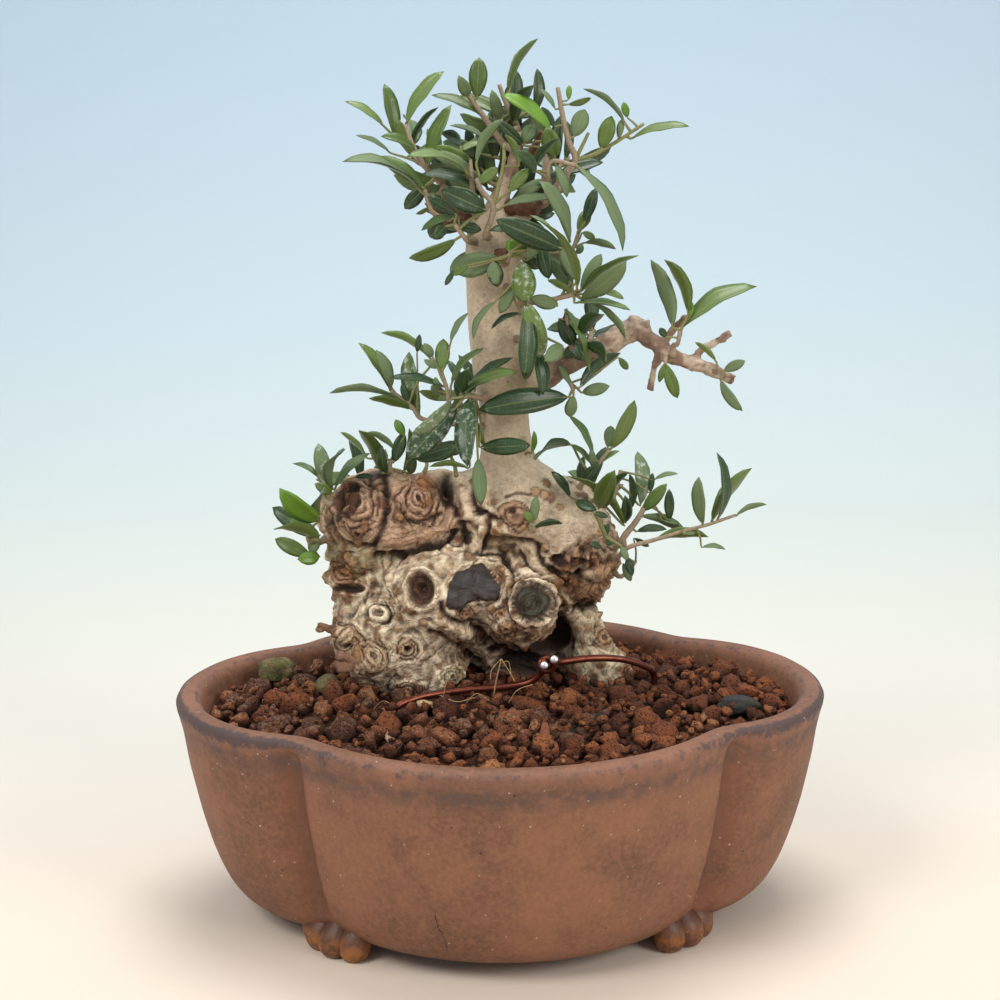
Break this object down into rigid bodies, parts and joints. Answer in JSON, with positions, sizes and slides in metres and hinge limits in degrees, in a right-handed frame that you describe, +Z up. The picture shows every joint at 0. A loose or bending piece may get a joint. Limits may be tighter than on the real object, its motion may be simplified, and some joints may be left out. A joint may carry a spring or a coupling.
{
  "type": "wild olive bonsai",
  "caption": "Shohin wild olive bonsai: gnarled burl, short trunk and leafy sprays, tied into fired-clay soil in a brown four-lobed pot on cloud-shaped feet.",
  "frame": {"origin": "on the standing surface, under the middle of the pot", "axes": "+Z up, +X to the right along the pot's long side, +Y to the back; the tree's front faces -Y"},
  "size_m": [0.15, 0.12, 0.1976],
  "materials": {
    "pot_clay": "matt unglazed brown stoneware",
    "mesh_plastic": "matt green-black",
    "baked_soil": "dull porous baked clay grains",
    "bark": "cream-grey olive bark with brown scars",
    "paste": "dried charcoal paste",
    "wire_metal": "copper-brown anodised wire",
    "moss_stone": "rough, thin moss",
    "slate_stone": "dark, slightly damp",
    "leaf": "leathery, dark above and grey below"
  },
  "bodies": {
    "root": {"back_branch": "leaf", "back_burl_left": "leaf", "back_crown_left": "leaf", "back_crown_peak": "leaf", "back_crown_right": "leaf", "back_shoulder": "leaf", "back_trunk_left": "leaf", "back_trunk_top": "leaf", "branch_inner": "leaf", "branch_out_top": "leaf", "branch_out_under": "leaf", "branch_tip": "leaf", "branch_under": "leaf", "burl_left": "leaf", "burl_left_top": "leaf", "burl_top_left": "leaf", "crown_front_fork": "leaf", "crown_left_fan": "leaf", "crown_left_low": "leaf", "crown_left_mid": "leaf", "crown_left_top": "leaf", "crown_left_under": "leaf", "crown_peak": "leaf", "crown_peak_left": "leaf", "crown_right_arch": "leaf", "crown_right_fork": "leaf", "crown_right_low": "leaf", "crown_right_top": "leaf", "dark_stone": "slate_stone", "drain_mesh_left": "mesh_plastic", "drain_mesh_right": "mesh_plastic", "front_sprout": "leaf", "mossy_stone_1": "moss_stone", "mossy_stone_2": "moss_stone", "pot": "pot_clay", "shoulder_front": "leaf", "shoulder_low": "leaf", "shoulder_out": "leaf", "shoulder_sprout": "leaf", "shoulder_stub": "leaf", "shoulder_thick_stub": "leaf", "shoulder_top": "leaf", "soil": "baked_soil", "tie_wire": "wire_metal", "trunk_front": "leaf", "trunk_front_low": "leaf", "trunk_left_front": "leaf", "trunk_left_out": "leaf", "trunk_left_upper": "leaf", "trunk_right_bud": "leaf", "trunk_top_front": "leaf", "wood": "bark", "wound_paste": "paste"}
  },
  "joints": []
}
